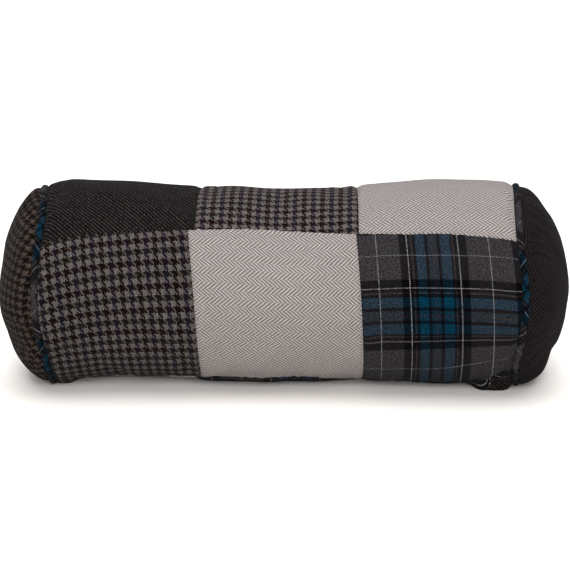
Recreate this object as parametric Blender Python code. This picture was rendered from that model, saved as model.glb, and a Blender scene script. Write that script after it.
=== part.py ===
"""A bolster cushion: one filled body in a patchwork cover, with a piping ring in each end seam.

The cushion lies along X with its front towards -Y, and rests on the plane z = 0.
Angles go round the cushion: 0 faces the front (-Y), 90 is the top, 180 the back and -90 the
underside. Lengths are in metres and angles in degrees.
"""

import math
from collections import namedtuple

import bpy
import numpy as np

# Overall size
OVERALL_LENGTH = 0.565
PIPING_RADIUS = 0.0033
PIPING_GAP = 0.0005
GROOVE_RADIUS = PIPING_RADIUS + PIPING_GAP
FLOOR_GAP = 0.0003

# How the round side meets the surface that it lies on
SOFT_EDGE = 0.0006
BELLY_PRESS = 0.0015
BELLY_SPREAD = 10.0

# The body between the end seams: the height of each section's centre, its radius, and the angles
# of the row seams above and below the front patches.
Section = namedtuple("Section", "x height radius top_seam low_seam")
SECTIONS = (
    Section(-0.237, 0.0943, 0.0997, 36.3, -76),
    Section(-0.221, 0.0972, 0.1002, 37.9, -77),
    Section(-0.189, 0.1005, 0.0983, 40.4, -77),
    Section(-0.134, 0.0998, 0.0970, 43.5, -73),
    Section(-0.086, 0.0965, 0.0960, 47.2, -63),
    Section(-0.049, 0.0953, 0.0974, 48.3, -57.5),
    Section(-0.024, 0.0946, 0.0966, 48.7, -57.5),
    Section(0.026, 0.0954, 0.0957, 46.8, -59),
    Section(0.075, 0.0975, 0.0969, 44.2, -75),
    Section(0.116, 0.0994, 0.0994, 42.2, -78),
    Section(0.156, 0.0997, 0.1011, 41.9, -79),
    Section(0.196, 0.0993, 0.1013, 40.2, -61.5),
    Section(0.231, 0.0968, 0.1010, 39.4, -41.5),
)
BACK_SEAM = 168.0

# Where each end seam wanders along X as it goes round
Wander = namedtuple("Wander", "angle x")
LEFT_WANDER = (
    Wander(-150, -0.2360),
    Wander(-100, -0.2330),
    Wander(-52, -0.2287),
    Wander(-30, -0.2305),
    Wander(-8, -0.2360),
    Wander(20, -0.2365),
    Wander(52, -0.2330),
    Wander(105, -0.2395),
    Wander(160, -0.2375),
)
RIGHT_WANDER = (
    Wander(-130, 0.2330),
    Wander(-75, 0.2320),
    Wander(-50, 0.2273),
    Wander(-35, 0.2265),
    Wander(-20, 0.2295),
    Wander(0, 0.2327),
    Wander(45, 0.2270),
    Wander(105, 0.2300),
    Wander(160, 0.2315),
)

# The two ends: side is the sign of X, reach the radius of the piping's centre line
End = namedtuple("End", "name side seam_x reach pole_rise wander")
LEFT_END = End("left", -1, -0.237, 0.0952, -0.003, LEFT_WANDER)
RIGHT_END = End("right", 1, 0.231, 0.0969, 0.0, RIGHT_WANDER)

# The two seams between the columns of patches, one row of patches at a time: where each starts and
# ends, and how far both bow towards +X between
ColumnSeam = namedtuple("ColumnSeam", "first_top first_low second_top second_low bow")
COLUMN_SEAMS = (
    ColumnSeam(-0.0908, -0.0806, 0.0707, 0.0789, 0.0030),
    ColumnSeam(-0.0870, -0.0830, 0.0745, 0.0725, 0.0),
    ColumnSeam(-0.0825, -0.0841, 0.0710, 0.0735, 0.0),
)
SEAM_DEPTH = 0.0018
SEAM_SPREAD = 0.0045
SHOULDER = 0.008

# Folds and swellings of the cover, each along a line from one place to the other
Fold = namedtuple("Fold", "x0 angle0 x1 angle1 width rise")
FOLDS = (
    Fold(0.197, -67, 0.216, -68, 0.022, 0.0090),
    Fold(0.226, -32, 0.204, -58, 0.008, -0.0035),
    Fold(0.204, -58, 0.188, -66, 0.008, -0.0025),
    Fold(0.226, -30, 0.200, -35, 0.008, -0.0015),
    Fold(-0.229, -74, -0.218, -75, 0.018, 0.0042),
    Fold(-0.232, -16, -0.213, -16, 0.008, -0.0015),
    Fold(-0.232, 42, -0.214, 41, 0.010, -0.0015),
    Fold(0.226, 41, 0.206, 42, 0.010, -0.0015),
)

# Folds of the end panels, by distance from the panel's middle
PanelFold = namedtuple("PanelFold", "side radius0 angle0 radius1 angle1 width rise")
PANEL_FOLDS = (
    PanelFold(1, 0.088, -28, 0.066, -78, 0.013, -0.0026),
    PanelFold(1, 0.088, -62, 0.084, -80, 0.018, 0.0025),
    PanelFold(1, 0.087, 80, 0.087, 130, 0.022, -0.0020),
    PanelFold(1, 0.037, -75, 0.034, -70, 0.014, -0.0012),
    PanelFold(-1, 0.086, -16, 0.070, -18, 0.012, -0.0020),
    PanelFold(-1, 0.084, 30, 0.066, 34, 0.014, -0.0012),
    PanelFold(-1, 0.078, -58, 0.078, -92, 0.034, 0.0034),
)

# The end panels are slacker than a plain dome between their middle and their rim, by this share
PANEL_SLACK = 0.068

# How finely the surface is stepped
PITCH_ALONG = 0.0125
PITCH_ROUND = 0.0115
STEPS_AT_PIPING = (0.0, 0.0006, 0.0018, 0.004, 0.008, 0.014)
STEPS_AT_COLUMN_SEAM = (0.0, 0.0035, 0.009)
STEPS_AT_ROW_SEAM = (0.0, 0.0035, 0.010)
GROOVE_ANGLES = (-15, 15, 45, 75, 105, 135, 165, 195)
PANEL_ANGLES = (83, 74, 64, 54, 44, 33, 22, 11)

# Colours, roughness and the order of the patches
Cloth = namedtuple("Cloth", "name colour roughness")
CLOTHS = (
    Cloth("charcoal weave", (0.030, 0.027, 0.026), 0.95),
    Cloth("puppytooth check", (0.105, 0.090, 0.080), 0.92),
    Cloth("light herringbone", (0.50, 0.47, 0.44), 0.90),
    Cloth("tartan", (0.045, 0.062, 0.075), 0.90),
)
CHARCOAL, PUPPYTOOTH, HERRINGBONE, TARTAN = range(4)
PATCHES = (
    (PUPPYTOOTH, HERRINGBONE, TARTAN),
    (HERRINGBONE, TARTAN, CHARCOAL),
    (CHARCOAL, PUPPYTOOTH, HERRINGBONE),
)
END_PANELS = {-1: PUPPYTOOTH, 1: CHARCOAL}
PIPING_COLOUR = (0.050, 0.070, 0.085)


def curve_through(at, places, values):
    """A smooth curve through a table's points, read at the places asked for."""
    places = np.asarray(places, float)
    values = np.asarray(values, float)
    slopes = np.gradient(values, places)
    at = np.clip(at, places[0], places[-1])
    i = np.clip(np.searchsorted(places, at) - 1, 0, len(places) - 2)
    step = places[i + 1] - places[i]
    t = (at - places[i]) / step
    return (
        (1 + 2 * t) * (1 - t) ** 2 * values[i]
        + t * (1 - t) ** 2 * step * slopes[i]
        + t * t * (3 - 2 * t) * values[i + 1]
        + t * t * (t - 1) * step * slopes[i + 1]
    )


def section_value(x, field):
    """A section's height, radius or seam angle at any x."""
    return curve_through(x, [s.x for s in SECTIONS], [getattr(s, field) for s in SECTIONS])


def wander_x(end, angle):
    """The end seam's x at an angle, read from its table as a closed loop."""
    turns = [-360, 0, 360]
    angles = [w.angle + turn for turn in turns for w in end.wander]
    values = [w.x for _ in turns for w in end.wander]
    return curve_through(wrapped(angle), angles, values)


def wrapped(angle):
    """The same direction as an angle between -180 and 180."""
    return (np.asarray(angle) + 180.0) % 360.0 - 180.0


def row_angle(x, row):
    """The angle of a row coordinate: 0 to 1 is the front row, then the under row and the back row."""
    top = section_value(x, "top_seam")
    low = section_value(x, "low_seam")
    back = BACK_SEAM - 360
    front = top + (low - top) * row
    under = low + (back - low) * (row - 1)
    rear = back + (top - 360 - back) * (row - 2)
    return np.where(row < 1, front, np.where(row < 2, under, rear))


def column_seam_x(row, which):
    """The x of a column seam, which runs smoothly in each row and steps over at the row seams."""
    edges = [
        (getattr(s, which + "_top"), getattr(s, which + "_low")) for s in COLUMN_SEAMS
    ]
    index = np.minimum(row.astype(int), 2)
    top = np.array([e[0] for e in edges])[index]
    low = np.array([e[1] for e in edges])[index]
    bow = np.array([s.bow for s in COLUMN_SEAMS])[index]
    x = top + (low - top) * (row - index) + bow * np.sin(math.pi * (row - index))
    for seam in range(3):
        shared = (edges[seam][0] + edges[seam - 1][1]) / 2
        x = np.where(np.isclose(row, seam), shared, x)
    return x


def settled(z):
    """A height after the surface below has pressed the underside flat, with a soft edge to it."""
    near = (z + SOFT_EDGE) ** 2 / (4 * SOFT_EDGE)
    return np.where(z <= -SOFT_EDGE, 0.0, np.where(z >= SOFT_EDGE, z, near))


def outward(angle):
    """The direction away from the cushion's middle line, as x, y and z."""
    a = np.radians(angle)
    return np.stack([np.zeros_like(a), -np.cos(a), np.sin(a)], axis=-1)


def line_distance(u, v, u0, v0, u1, v1):
    """The distance from flat places to the line between two of them."""
    du, dv = u1 - u0, v1 - v0
    along = np.clip(((u - u0) * du + (v - v0) * dv) / (du * du + dv * dv), 0, 1)
    return np.hypot(u - u0 - along * du, v - v0 - along * dv)


def fold_rise(x, angle, radius):
    """How far the folds lift or draw in the cover."""
    rise = np.zeros_like(x)
    v = radius * np.radians(wrapped(angle))
    for fold in FOLDS:
        v0, v1 = radius * np.radians(fold.angle0), radius * np.radians(fold.angle1)
        d = line_distance(x, v, fold.x0, v0, fold.x1, v1)
        rise += fold.rise * np.exp(-((2 * d / fold.width) ** 2))
    return rise


def seam_dip(x, angle, radius, row):
    """How deep the seams between the patches lie."""
    d = np.full_like(x, 1.0)
    for which in ("first", "second"):
        d = np.minimum(d, np.abs(x - column_seam_x(row, which)))
    for seam in (section_value(x, "top_seam"), section_value(x, "low_seam"), BACK_SEAM):
        d = np.minimum(d, radius * np.radians(np.abs(wrapped(angle - seam))))
    return SEAM_DEPTH * np.exp(-d / SEAM_SPREAD)


def body_points(x, row):
    """The cover between the end seams, before it is drawn in at the piping."""
    angle = row_angle(x, row)
    height = section_value(x, "height")
    radius = section_value(x, "radius")
    reach = radius + fold_rise(x, angle, radius) - seam_dip(x, angle, radius, row)
    points = outward(angle) * reach[..., None]
    points[..., 0] = x
    points[..., 2] += height
    clearance = np.maximum(0.0, height - radius)
    below = np.exp(-((wrapped(angle + 90) / BELLY_SPREAD) ** 2))
    points[..., 2] -= (clearance + BELLY_PRESS) * below
    return points


def piping_line(end, row):
    """The piping's centre line: it lies in the end seam and rests just above the floor."""
    angle = row_angle(np.full_like(row, end.seam_x), row)
    points = outward(angle) * end.reach
    points[:, 0] = wander_x(end, angle)
    points[:, 2] += section_value(end.seam_x, "height")
    lowest = PIPING_RADIUS + FLOOR_GAP
    points[:, 2] = settled(points[:, 2] - lowest) + lowest
    return points


def groove_points(end, row):
    """The groove round the piping, from its lip on the body to its lip on the end panel."""
    centre = piping_line(end, row)
    along = np.roll(centre, -1, axis=0) - np.roll(centre, 1, axis=0)
    along /= np.linalg.norm(along, axis=1)[:, None]
    sideways = np.array([1.0, 0.0, 0.0]) * end.side
    sideways = sideways - along * (along @ sideways)[:, None]
    sideways /= np.linalg.norm(sideways, axis=1)[:, None]
    out = np.cross(along, sideways) * end.side
    columns = []
    for degrees in GROOVE_ANGLES:
        a = math.radians(degrees)
        columns.append(centre - GROOVE_RADIUS * (math.cos(a) * sideways + math.sin(a) * out))
    return columns


def panel_columns(end, lip, row):
    """The bulging end panel, from next to its lip to next to its pole, then the pole itself."""
    angle = row_angle(np.full_like(row, end.seam_x), row)
    middle = np.array([0.0, 0.0, float(section_value(end.seam_x, "height"))])
    lip_x = lip[:, 0].mean()
    dome = OVERALL_LENGTH / 2 - abs(lip_x)
    columns = []
    for degrees in PANEL_ANGLES:
        a = math.radians(degrees)
        spread = math.sin(a) * (1 - PANEL_SLACK * math.sin(2 * a) ** 2)
        centre = middle + np.array([0, 0, end.pole_rise]) * math.cos(a) ** 2
        points = centre + (lip - middle) * spread
        points[:, 0] = lip_x + (lip[:, 0] - lip_x) * math.sin(a) ** 2
        points[:, 0] += end.side * dome * math.cos(a)
        normal = outward(angle) * math.sin(a)
        normal[:, 0] = end.side * math.cos(a)
        points += normal * panel_rise(end, end.reach * spread, angle)[:, None]
        points[:, 2] = settled(points[:, 2])
        columns.append(points)
    pole = middle + np.array([end.side * OVERALL_LENGTH / 2, 0, end.pole_rise])
    return columns, pole


def panel_rise(end, radius, angle):
    """How far the folds lift or draw in the end panel."""
    u, v = radius * np.cos(np.radians(angle)), radius * np.sin(np.radians(angle))
    rise = np.zeros_like(angle)
    for fold in PANEL_FOLDS:
        if fold.side == end.side:
            a0, a1 = math.radians(fold.angle0), math.radians(fold.angle1)
            start = (fold.radius0 * math.cos(a0), fold.radius0 * math.sin(a0))
            stop = (fold.radius1 * math.cos(a1), fold.radius1 * math.sin(a1))
            d = line_distance(u, v, *start, *stop)
            rise += fold.rise * np.exp(-((2 * d / fold.width) ** 2))
    return rise


def fractions(length, first, last, pitch):
    """Places from 0 to 1 along a run: set steps at each end, and even ones between them."""
    inner = length - first[-1] - last[-1]
    count = max(1, round(inner / pitch))
    middle = [first[-1] + inner * i / count for i in range(1, count)]
    offsets = [*first, *middle, *(length - step for step in reversed(last))]
    return np.array(offsets) / length


def row_places():
    """The row coordinates of the steps round the cushion."""
    radius = section_value(0.0, "radius")
    top, low = section_value(0.0, "top_seam"), section_value(0.0, "low_seam")
    spans = (top - low, low - (BACK_SEAM - 360), BACK_SEAM - top)
    places = []
    for index, span in enumerate(spans):
        length = float(radius * math.radians(span))
        steps = fractions(length, STEPS_AT_ROW_SEAM, STEPS_AT_ROW_SEAM, PITCH_ROUND)
        places.extend(index + steps[:-1])
    return np.array(places)


def body_columns(row, left_lip, right_lip):
    """The body's columns of points between the two lips, and the column of patches each starts."""
    edges = [left_lip[:, 0], column_seam_x(row, "first"), column_seam_x(row, "second"), right_lip[:, 0]]
    columns, patch_of = [], []
    for index in range(3):
        first = STEPS_AT_PIPING if index == 0 else STEPS_AT_COLUMN_SEAM
        last = STEPS_AT_PIPING if index == 2 else STEPS_AT_COLUMN_SEAM
        length = float((edges[index + 1] - edges[index]).mean())
        for f in fractions(length, first, last, PITCH_ALONG)[:-1]:
            x = edges[index] + (edges[index + 1] - edges[index]) * f
            columns.append(drawn_in(x, row, left_lip, right_lip))
            patch_of.append(index)
    return columns[1:], patch_of


def drawn_in(x, row, left_lip, right_lip):
    """The cover at x, drawn in towards the piping over a rounded shoulder."""
    points = body_points(x, row)
    for lip in (left_lip, right_lip):
        q = np.clip(np.abs(x - lip[:, 0]) / SHOULDER, 0, 1)
        keep = np.sqrt(1 - (1 - q) ** 2)[:, None]
        points[:, 1:] = lip[:, 1:] + (points[:, 1:] - lip[:, 1:]) * keep
    points[:, 2] = settled(points[:, 2])
    return points


def cloth_material(name, colour, roughness):
    """A plain cloth finish."""
    material = bpy.data.materials.new(name)
    material.use_nodes = True
    shader = material.node_tree.nodes["Principled BSDF"]
    shader.inputs["Base Color"].default_value = (*colour, 1.0)
    shader.inputs["Roughness"].default_value = roughness
    shader.inputs["Metallic"].default_value = 0.0
    return material


def make_cushion(row):
    """The filled body: both end panels, both grooves and the patchwork between them."""
    left_groove = groove_points(LEFT_END, row)
    right_groove = groove_points(RIGHT_END, row)
    left_panel, left_pole = panel_columns(LEFT_END, left_groove[-1], row)
    right_panel, right_pole = panel_columns(RIGHT_END, right_groove[-1], row)
    body, patch_of = body_columns(row, left_groove[0], right_groove[0])
    columns = left_panel[::-1] + left_groove[::-1] + body + right_groove + right_panel

    count = len(row)
    points = np.concatenate([*columns, left_pole[None], right_pole[None]])
    left_pole_index, right_pole_index = len(points) - 2, len(points) - 1
    body_start = len(left_panel) + len(left_groove) - 1
    last = len(columns) - 1
    faces, cloths = [], []
    for i in range(count):
        up = (i + 1) % count
        faces.append((left_pole_index, up, i))
        cloths.append(END_PANELS[-1])
        for column in range(last):
            here, beyond = column * count, (column + 1) * count
            faces.append((here + up, beyond + up, beyond + i, here + i))
            patch = column - body_start
            if patch < 0:
                cloths.append(END_PANELS[-1])
            elif patch < len(patch_of):
                cloths.append(PATCHES[min(int(row[i]), 2)][patch_of[patch]])
            else:
                cloths.append(END_PANELS[1])
        faces.append((right_pole_index, last * count + i, last * count + up))
        cloths.append(END_PANELS[1])

    mesh = bpy.data.meshes.new("cushion")
    mesh.from_pydata(points.tolist(), [], faces)
    for cloth in CLOTHS:
        mesh.materials.append(cloth_material(*cloth))
    mesh.polygons.foreach_set("material_index", cloths)
    mesh.shade_smooth()
    cushion = bpy.data.objects.new("cushion", mesh)
    bpy.context.collection.objects.link(cushion)


def make_piping(end, row, material):
    """One closed ring of covered cord, lying in its groove."""
    curve = bpy.data.curves.new(f"piping_{end.name}", "CURVE")
    curve.dimensions = "3D"
    curve.bevel_depth = PIPING_RADIUS
    curve.bevel_resolution = 2
    spline = curve.splines.new("POLY")
    spline.points.add(len(row) - 1)
    for point, place in zip(spline.points, piping_line(end, row)):
        point.co = (*place, 1.0)
    spline.use_cyclic_u = True
    spline.use_smooth = True
    curve.materials.append(material)
    piping = bpy.data.objects.new(f"piping_{end.name}", curve)
    bpy.context.collection.objects.link(piping)


def main():
    for old in list(bpy.data.objects):
        bpy.data.objects.remove(old)
    row = row_places()
    make_cushion(row)
    material = cloth_material("tartan piping", PIPING_COLOUR, 0.9)
    for end in (LEFT_END, RIGHT_END):
        make_piping(end, row, material)


main()
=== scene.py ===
"""The looks of a bolster cushion: its patchwork cover, its tartan piping, and the light on them.

The cushion lies along X with its front towards -Y, on the plane z = 0. Angles go round it: 0 faces
the front (-Y), 90 is the top, 180 the back and -90 the underside. Lengths are in metres and angles
in degrees. The cover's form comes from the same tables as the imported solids, in finer steps. Only
the seam above the lobe at the lower right lies a little lower here.
"""

import math
from collections import namedtuple

import bpy
import numpy as np
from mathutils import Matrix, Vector


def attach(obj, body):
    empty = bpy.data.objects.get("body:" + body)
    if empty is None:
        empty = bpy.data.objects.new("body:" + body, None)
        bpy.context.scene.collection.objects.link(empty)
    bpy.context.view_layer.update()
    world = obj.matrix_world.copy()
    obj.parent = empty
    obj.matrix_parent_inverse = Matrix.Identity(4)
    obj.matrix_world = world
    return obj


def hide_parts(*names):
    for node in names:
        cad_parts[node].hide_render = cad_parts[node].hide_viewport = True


# The view
CAMERA_DISTANCE = 2.03
CAMERA_AZIMUTH = 1.4
CAMERA_ELEVATION = 15.0
CAMERA_TARGET = (0.001, 0.0, 0.0947)
CAMERA_LENS = 128.2
CAMERA_SENSOR = 36.0

# Overall size
OVERALL_LENGTH = 0.565
PIPING_RADIUS = 0.0033
GROOVE_RADIUS = 0.0036
FLOOR_GAP = 0.0003

# How the round side meets the surface that it lies on
SOFT_EDGE = 0.0006
BELLY_PRESS = 0.0015
BELLY_SPREAD = 10.0

# The body between the end seams: the height of each section's centre, its radius, and the angles
# of the row seams above and below the front patches.
Section = namedtuple("Section", "x height radius top_seam low_seam")
SECTIONS = (
    Section(-0.237, 0.0943, 0.0997, 36.3, -76),
    Section(-0.221, 0.0972, 0.1002, 37.9, -77),
    Section(-0.189, 0.1005, 0.0983, 40.4, -77),
    Section(-0.134, 0.0998, 0.0970, 43.5, -73),
    Section(-0.086, 0.0965, 0.0960, 47.2, -63),
    Section(-0.049, 0.0953, 0.0974, 48.3, -57.5),
    Section(-0.024, 0.0946, 0.0966, 48.7, -57.5),
    Section(0.026, 0.0954, 0.0957, 46.8, -59),
    Section(0.075, 0.0975, 0.0969, 44.2, -75),
    Section(0.116, 0.0994, 0.0994, 42.2, -78),
    Section(0.156, 0.0997, 0.1011, 41.9, -79),
    Section(0.196, 0.0993, 0.1013, 40.2, -68.5),
    Section(0.231, 0.0968, 0.1010, 39.4, -41.5),
)
BACK_SEAM = 168.0
FULL_TURN = 360.0

# The filling's unevenness
MEAN_RADIUS = 0.098
RIPPLES = 6
RIPPLE_SPREAD = (0.65, 1.35)
LUMP_SEED = 11
LUMP_LENGTHS = (0.040, 0.090)
LUMP_DEPTH = 0.00045

# The small gathers of the cloth next to the piping, and its puckers next to the seams: how deep and
# how long they are, and how far from their seam they are deepest
Gathers = namedtuple("Gathers", "depth length peak")
BY_PIPING = Gathers(0.00040, 0.0125, 0.0065)
BY_SEAM = Gathers(0.00016, 0.0130, 0.0060)
BODY_SEED = 20
PANEL_SEED = 40
ACROSS_SEED, DOWN_SEED = 31, 32

# Where each end seam wanders along X as it goes round: angles, and the seam's x at each
LEFT_WANDER = (
    (-150, -0.2360), (-100, -0.2330), (-52, -0.2287), (-30, -0.2305), (-8, -0.2360),
    (20, -0.2365), (52, -0.2330), (105, -0.2395), (160, -0.2375),
)
RIGHT_WANDER = (
    (-130, 0.2330), (-75, 0.2320), (-50, 0.2273), (-35, 0.2265), (-20, 0.2295),
    (0, 0.2327), (45, 0.2270), (105, 0.2300), (160, 0.2315),
)

# The two ends: side is the sign of X, reach the radius of the piping's centre line
End = namedtuple("End", "name side seam_x reach pole_rise wander")
LEFT_END = End("left", -1, -0.237, 0.0952, -0.003, LEFT_WANDER)
RIGHT_END = End("right", 1, 0.231, 0.0969, 0.0, RIGHT_WANDER)

# The two seams between the columns of patches, one row of patches at a time: where each starts and
# ends, and how far both bow towards +X between
ColumnSeam = namedtuple("ColumnSeam", "first_top first_low second_top second_low bow")
COLUMN_SEAMS = (
    ColumnSeam(-0.0908, -0.0806, 0.0707, 0.0789, 0.0030),
    ColumnSeam(-0.0870, -0.0830, 0.0745, 0.0725, 0.0),
    ColumnSeam(-0.0825, -0.0841, 0.0710, 0.0735, 0.0),
)
ROWS = len(COLUMN_SEAMS)
SEAM_DIP = 0.0004
SEAM_SPREAD = 0.0045
CREASE_DEPTH = 0.0010
CREASE_WIDTH = 0.0010
SHOULDER = 0.008

# Folds and swellings of the cover, each along a line from one place to the other
Fold = namedtuple("Fold", "x0 angle0 x1 angle1 width rise")
FOLDS = (
    Fold(0.197, -67, 0.216, -68, 0.022, 0.0090),
    Fold(0.226, -32, 0.204, -58, 0.008, -0.0035),
    Fold(0.204, -58, 0.188, -66, 0.008, -0.0025),
    Fold(0.226, -30, 0.200, -35, 0.008, -0.0015),
    Fold(-0.229, -74, -0.218, -75, 0.018, 0.0042),
    Fold(-0.232, -16, -0.213, -16, 0.008, -0.0015),
    Fold(-0.232, 42, -0.214, 41, 0.010, -0.0015),
    Fold(0.226, 41, 0.206, 42, 0.010, -0.0015),
)

# Narrow creases in the cover, pulled in by its seams
CREASES = (
    Fold(0.2225, -8, 0.2215, -21, 0.0030, -0.0006),
    Fold(0.2215, -21, 0.2231, -34, 0.0030, -0.0007),
    Fold(0.2199, -38.8, 0.2150, -46, 0.0032, -0.0012),
    Fold(0.2150, -46, 0.2059, -58.5, 0.0032, -0.0014),
    Fold(0.2059, -58.5, 0.1981, -59.7, 0.0030, -0.0012),
    Fold(0.1981, -59.7, 0.1860, -64, 0.0030, -0.0008),
    Fold(-0.2330, -16.5, -0.2130, -15.6, 0.0028, -0.0012),
)

# Folds of the end panels, by distance from the panel's middle
PanelFold = namedtuple("PanelFold", "side radius0 angle0 radius1 angle1 width rise")
PANEL_FOLDS = (
    PanelFold(1, 0.088, -28, 0.066, -78, 0.013, -0.0026),
    PanelFold(1, 0.088, -62, 0.084, -80, 0.018, 0.0025),
    PanelFold(1, 0.087, 80, 0.087, 130, 0.022, -0.0020),
    PanelFold(1, 0.037, -75, 0.034, -70, 0.014, -0.0012),
    PanelFold(-1, 0.086, -16, 0.070, -18, 0.012, -0.0020),
    PanelFold(-1, 0.084, 30, 0.066, 34, 0.014, -0.0012),
    PanelFold(-1, 0.078, -58, 0.078, -92, 0.034, 0.0034),
)
PANEL_SLACK = 0.068

# How finely the cover is stepped: the pitch of its grid, the steps next to a seam, the angles across
# a groove, and how the rings of an end panel crowd towards its edge
PITCH = 0.0022
AT_PIPING = (0.0, 0.0003, 0.0008, 0.0015, 0.0025, 0.004)
AT_SEAM = (0.0, 0.0005, 0.0011, 0.0019, 0.003)
GROOVE_ANGLES = range(-15, 196, 30)
PANEL_EDGE = 89.2
PANEL_RINGS = 42
PANEL_CROWDING = 1.35

# The cloths by their place in CLOTHS, and where each patch and panel is cut from
# The last two cloths are the puppytooth darkened with painted shade and lightened with painted light
CHARCOAL, PUPPYTOOTH, HERRINGBONE, PLAID, CORDED, SHADED_TOOTH, LIT_TOOTH = range(7)
PATCHES = (
    (PUPPYTOOTH, HERRINGBONE, PLAID),
    (HERRINGBONE, PLAID, CHARCOAL),
    # The middle patch of this row is the puppytooth lightened with painted light
    (CHARCOAL, LIT_TOOTH, HERRINGBONE),
)
# The left end panel takes the puppytooth darkened with painted shade
END_PANELS = {-1: SHADED_TOOTH, 1: CORDED}

# How the cloth lies on each patch: the angle where the pattern starts at x0 and at x1, how much it
# is stretched at each, how much it slackens further down, how far across from the seam it starts,
# and how much it is stretched across
Grain = namedtuple(
    "Grain",
    "x0 angle0 x1 angle1 stretch0 stretch1 slack shift across",
    defaults=(1.0, 1.0, 0.0, 0.0, 1.0),
)
GRAINS = (
    (
        Grain(-0.2238, 29.6, -0.0945, 41.0, stretch0=1.068, shift=-0.0067),
        Grain(-0.0637, 45.55, 0.0508, 42.9, stretch1=0.964),
        Grain(0.1080, 29.6, 0.2025, 28.9, slack=0.66, shift=0.0175),
    ),
    (
        Grain(-0.2238, 284.0, -0.0945, 297.0),
        Grain(-0.0637, 308.0, 0.0508, 308.0, shift=-0.0620),
        Grain(0.1080, 282.0, 0.2025, 282.0),
    ),
    (
        Grain(-0.2238, 100.0, -0.0945, 104.0),
        Grain(-0.0770, 52.9, 0.0244, 52.3, 1.26, 1.33, shift=0.0070, across=0.963),
        Grain(0.1000, 51.4, 0.2135, 50.6, 1.07, 1.07),
    ),
)

# The cloth that is bunched up at the lower right of the front and let out again below: none at x0
# and all of it at x1, growing by an amount a degree from angle0 down to angle1
Gather = namedtuple("Gather", "x0 x1 limit angle0 angle1 amount")
GATHERED_PATCH = (0, 2)
GATHERS = (
    Gather(0.140, 0.204, 1.3, -10.4, -36.0, 0.00046),
    Gather(0.222, 0.200, 1.0, -36.0, -72.0, -0.00036),
)


def curve_through(at, places, values):
    """A smooth curve through a table's points, read at the places asked for."""
    places = np.asarray(places, float)
    values = np.asarray(values, float)
    slopes = np.gradient(values, places, axis=0)
    at = np.clip(at, places[0], places[-1])
    i = np.clip(np.searchsorted(places, at) - 1, 0, len(places) - 2)
    step = places[i + 1] - places[i]
    t = (at - places[i]) / step
    if values.ndim > 1:
        step, t = step[:, None], t[:, None]
    return (
        (1 + 2 * t) * (1 - t) ** 2 * values[i]
        + t * (1 - t) ** 2 * step * slopes[i]
        + t * t * (3 - 2 * t) * values[i + 1]
        + t * t * (t - 1) * step * slopes[i + 1]
    )


def section_value(x, field):
    """A section's height, radius or seam angle at any x."""
    return curve_through(x, [s.x for s in SECTIONS], [getattr(s, field) for s in SECTIONS])


def wrapped(angle):
    """The same direction as an angle between -180 and 180."""
    return (np.asarray(angle) + FULL_TURN / 2) % FULL_TURN - FULL_TURN / 2


def wander_x(end, angle):
    """The end seam's x at an angle, read from its table as a closed loop."""
    turns = (-FULL_TURN, 0, FULL_TURN)
    angles = [at + turn for turn in turns for at, _ in end.wander]
    values = [x for _ in turns for _, x in end.wander]
    return curve_through(wrapped(angle), angles, values)


def row_angle(x, row):
    """The angle of a row coordinate: 0 to 1 is the front row, then the under row and the back row."""
    top = section_value(x, "top_seam")
    low = section_value(x, "low_seam")
    back = BACK_SEAM - FULL_TURN
    front = top + (low - top) * row
    under = low + (back - low) * (row - 1)
    rear = back + (top - FULL_TURN - back) * (row - 2)
    return np.where(row < 1, front, np.where(row < 2, under, rear))


def angle_row(end, angle):
    """The row coordinate of an angle at an end seam, the other way round from row_angle."""
    top = float(section_value(end.seam_x, "top_seam"))
    low = float(section_value(end.seam_x, "low_seam"))
    marks = (top, low, BACK_SEAM - FULL_TURN, top - FULL_TURN)
    down = (np.asarray(angle) - top) % FULL_TURN - FULL_TURN + top
    return np.interp(-down, [-m for m in marks], range(ROWS + 1)) % ROWS


def column_line_x(row, index, which):
    """The x of a column seam in one row of patches."""
    fields = (which + "_top", which + "_low", "bow")
    top, low, bow = (np.array([getattr(s, field) for s in COLUMN_SEAMS])[index] for field in fields)
    return top + (low - top) * (row - index) + bow * np.sin(math.pi * (row - index))


def column_seam_x(row, which):
    """The x of a column seam, which steps over at the row seams."""
    index = np.minimum(row.astype(int), ROWS - 1)
    x = column_line_x(row, index, which)
    for seam in range(ROWS):
        before = getattr(COLUMN_SEAMS[seam - 1], which + "_low")
        after = getattr(COLUMN_SEAMS[seam], which + "_top")
        x = np.where(np.isclose(row, seam), (before + after) / 2, x)
    return x


def settled(z):
    """A height after the surface below has pressed the underside flat, with a soft edge to it."""
    near = (z + SOFT_EDGE) ** 2 / (4 * SOFT_EDGE)
    return np.where(z <= -SOFT_EDGE, 0.0, np.where(z >= SOFT_EDGE, z, near))


def outward(angle):
    """The direction away from the cushion's middle line, as x, y and z."""
    a = np.radians(angle)
    return np.stack([np.zeros_like(a), -np.cos(a), np.sin(a)], axis=-1)


def line_distance(u, v, u0, v0, u1, v1):
    """The distance from flat places to the line between two of them."""
    du, dv = u1 - u0, v1 - v0
    along = np.clip(((u - u0) * du + (v - v0) * dv) / (du * du + dv * dv), 0, 1)
    return np.hypot(u - u0 - along * du, v - v0 - along * dv)


def ridge(fold, distance):
    """How far a fold lifts or draws in the cover at a distance from its line."""
    return fold.rise * np.exp(-((2 * distance / fold.width) ** 2))


def fold_rise(x, angle, radius):
    """How far the folds lift or draw in the cover."""
    rise = np.zeros_like(x)
    v = radius * np.radians(wrapped(angle))
    for fold in FOLDS + CREASES:
        v0, v1 = radius * np.radians(fold.angle0), radius * np.radians(fold.angle1)
        rise += ridge(fold, line_distance(x, v, fold.x0, v0, fold.x1, v1))
    return rise


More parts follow.
